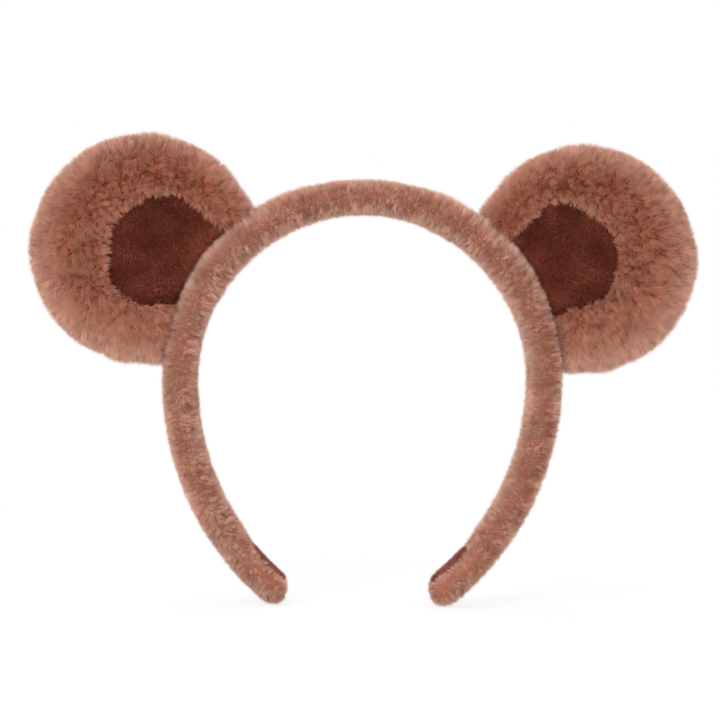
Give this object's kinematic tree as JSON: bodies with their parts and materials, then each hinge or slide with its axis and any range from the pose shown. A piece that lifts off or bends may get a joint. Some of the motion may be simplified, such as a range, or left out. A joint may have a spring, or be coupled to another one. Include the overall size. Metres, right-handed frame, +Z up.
{
  "type": "animal ears headband",
  "caption": "Plush-covered sprung headband with round stuffed animal ears sewn to its outside, worn over the crown of the head.",
  "frame": {"origin": "centre of the crown's inner arc, at the middle of the band's width, where the head's own centre comes", "axes": "+Z up towards the top of the head, +X to the right as seen from the front, -Y towards the front where the dark panels show"},
  "size_m": [0.2434, 0.0234, 0.1692],
  "materials": {
    "band_plush": "short brushed plush, matt",
    "ear_plush": "longer brushed plush, matt",
    "inner_pile": "short dark pile, matt",
    "felt": "dark felt, matt",
    "thread": "polyester thread",
    "foam": "soft open-cell foam wadding",
    "fibre": "loose polyester fibre filling",
    "hoop_plastic": "plain matt"
  },
  "bodies": {
    "band": {"band_core": "hoop_plastic", "band_padding": "foam", "band_cover": "band_plush", "band_seam_thread": "thread", "left_tip_patch": "felt", "right_tip_patch": "felt", "left_ear_base_stitches": "thread", "right_ear_base_stitches": "thread"},
    "left_ear": {"left_ear_front_panel": "ear_plush", "left_ear_inner_panel": "inner_pile", "left_ear_back_panel": "ear_plush", "left_ear_filling": "fibre", "left_ear_rim_thread": "thread", "left_ear_inner_thread": "thread"},
    "right_ear": {"right_ear_front_panel": "ear_plush", "right_ear_inner_panel": "inner_pile", "right_ear_back_panel": "ear_plush", "right_ear_filling": "fibre", "right_ear_rim_thread": "thread", "right_ear_inner_thread": "thread"}
  },
  "joints": [
    {"name": "left_ear_flop", "type": "hinge", "parent": "band", "child": "left_ear", "pos_m": [-0.05898, 0, 0.03405], "axis": [0.5, 0, 0.866], "range_deg": [-15, 15], "stiffness_Nm_per_rad": 0.04},
    {"name": "right_ear_flop", "type": "hinge", "parent": "band", "child": "right_ear", "pos_m": [0.05898, 0, 0.03405], "axis": [0.5, 0, -0.866], "range_deg": [-15, 15], "stiffness_Nm_per_rad": 0.04}
  ]
}
